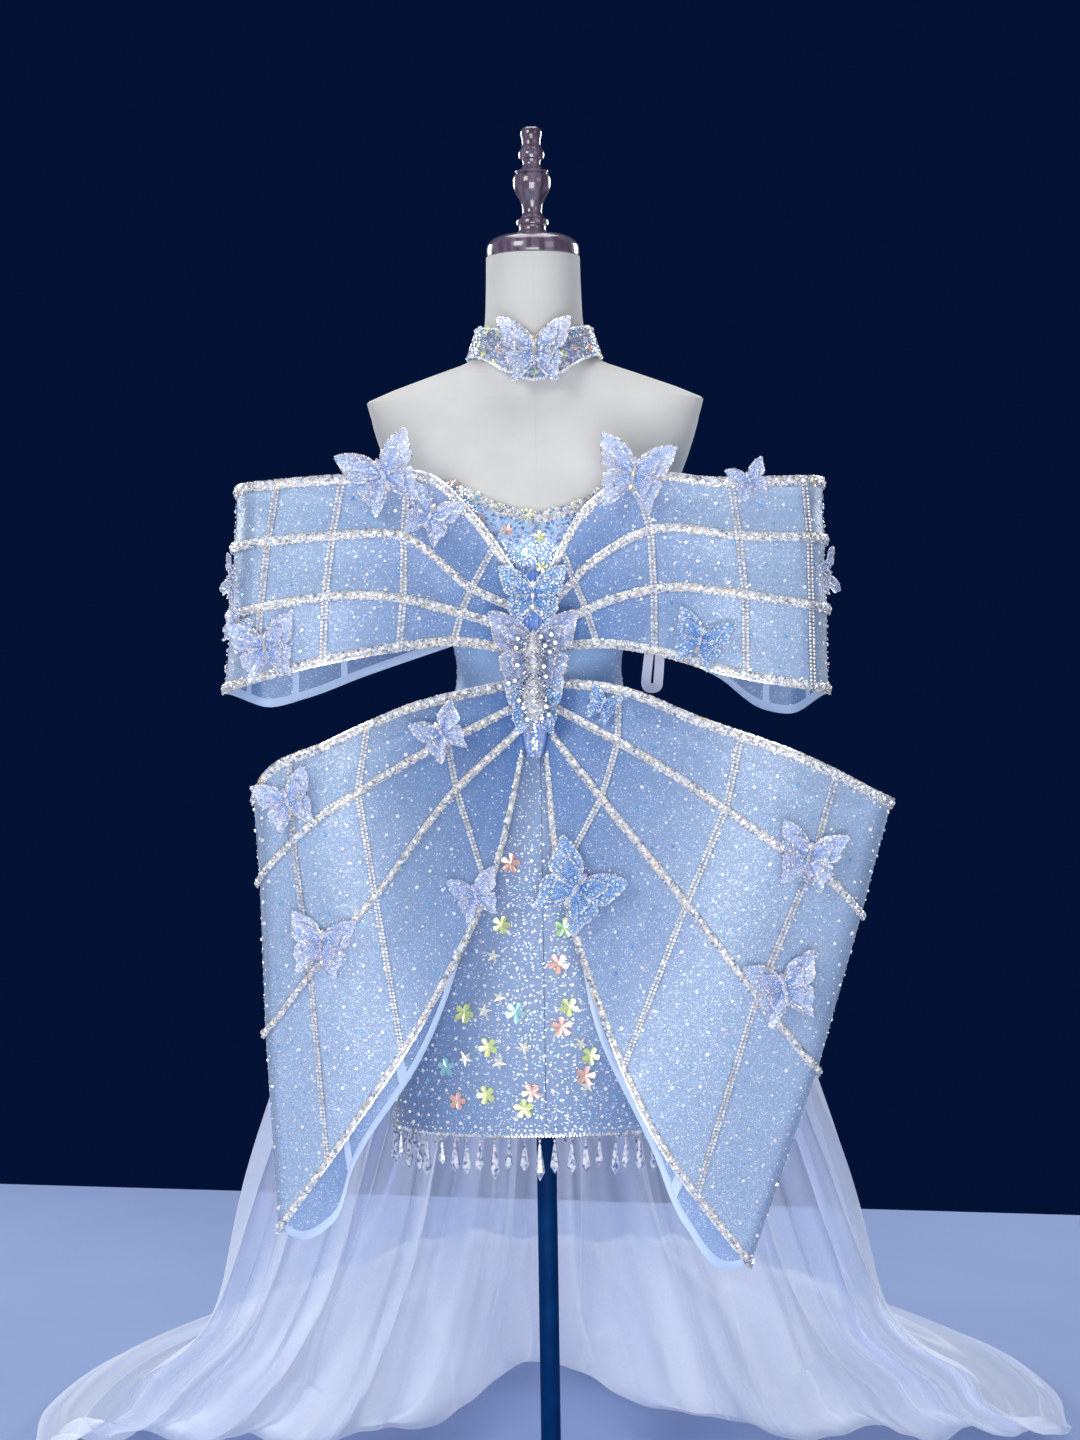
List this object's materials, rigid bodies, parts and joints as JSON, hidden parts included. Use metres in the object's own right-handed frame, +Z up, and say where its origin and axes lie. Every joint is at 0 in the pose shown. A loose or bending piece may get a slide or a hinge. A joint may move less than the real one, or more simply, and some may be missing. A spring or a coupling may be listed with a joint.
{
  "type": "mini prom dress on a limbless dress form",
  "caption": "Strapless mini prom dress with a giant boned organza bow, butterfly appliques, crystal fringe hem, tulle train and choker, worn by a limbless dress form on a round stand.",
  "frame": {"origin": "centre of the stand base's underside, on the floor", "axes": "+Z up, the dress's front faces -Y, +X is the viewer's right seen from the front"},
  "size_m": [1.472, 2.276, 1.712],
  "materials": {
    "form_cover": "warm ivory stretch cover, matt, with a faint centre seam",
    "dark_wood": "dark stained, glossy lacquer",
    "stand_paint": "satin navy-black paint",
    "sequin_cloth": "periwinkle satin under sequins and crystals",
    "glitter_organza": "sheer stiff organza with fine glitter",
    "silver_beads": "silver-champagne glitter tape and seed beads",
    "wing_organza": "pale organza with beaded outlines and stones",
    "crystal": "clear faceted crystal drops",
    "tulle": "very sheer white-lavender tulle",
    "white_ribbon": "white satin ribbon"
  },
  "bodies": {
    "root": {"back_zip": "sequin_cloth", "bodice_back_left": "sequin_cloth", "bodice_back_right": "sequin_cloth", "bodice_front_left": "sequin_cloth", "bodice_front_right": "sequin_cloth", "bow_knot": "glitter_organza", "bow_lower_left_back": "glitter_organza", "bow_lower_left_frame": "silver_beads", "bow_lower_left_front": "glitter_organza", "bow_lower_left_lower_band": "silver_beads", "bow_lower_left_upper_band": "silver_beads", "bow_lower_right_back": "glitter_organza", "bow_lower_right_frame": "silver_beads", "bow_lower_right_front": "glitter_organza", "bow_lower_right_lower_band": "silver_beads", "bow_lower_right_upper_band": "silver_beads", "bow_upper_left_back": "glitter_organza", "bow_upper_left_frame": "silver_beads", "bow_upper_left_front": "glitter_organza", "bow_upper_left_lower_band": "silver_beads", "bow_upper_left_upper_band": "silver_beads", "bow_upper_right_back": "glitter_organza", "bow_upper_right_frame": "silver_beads", "bow_upper_right_front": "glitter_organza", "bow_upper_right_lower_band": "silver_beads", "bow_upper_right_upper_band": "silver_beads", "butterfly_lower_left_inner": "wing_organza", "butterfly_lower_left_middle": "wing_organza", "butterfly_lower_left_near": "wing_organza", "butterfly_lower_left_outer": "wing_organza", "butterfly_lower_right_inner": "wing_organza", "butterfly_lower_right_middle": "wing_organza", "butterfly_lower_right_near": "wing_organza", "butterfly_lower_right_outer": "wing_organza", "butterfly_upper_left_side": "wing_organza", "butterfly_upper_left_top": "wing_organza", "butterfly_upper_right_low": "wing_organza", "butterfly_upper_right_side": "wing_organza", "butterfly_upper_right_top": "wing_organza", "choker_band": "sequin_cloth", "choker_butterfly": "wing_organza", "crystal_drop_fringe": "crystal", "form_torso": "form_cover", "hanger_ribbon": "white_ribbon", "hem_bead_trim": "silver_beads", "knot_butterfly_bottom": "wing_organza", "knot_butterfly_middle": "wing_organza", "knot_butterfly_top": "wing_organza", "neck_cap_finial": "dark_wood", "neckline_trim": "silver_beads", "skirt_back_left": "sequin_cloth", "skirt_back_right": "sequin_cloth", "skirt_front_left": "sequin_cloth", "skirt_front_right": "sequin_cloth", "stand_base": "stand_paint", "stand_pole": "stand_paint", "train_gore_left": "tulle", "train_gore_middle": "tulle", "train_gore_right": "tulle"}
  },
  "joints": []
}
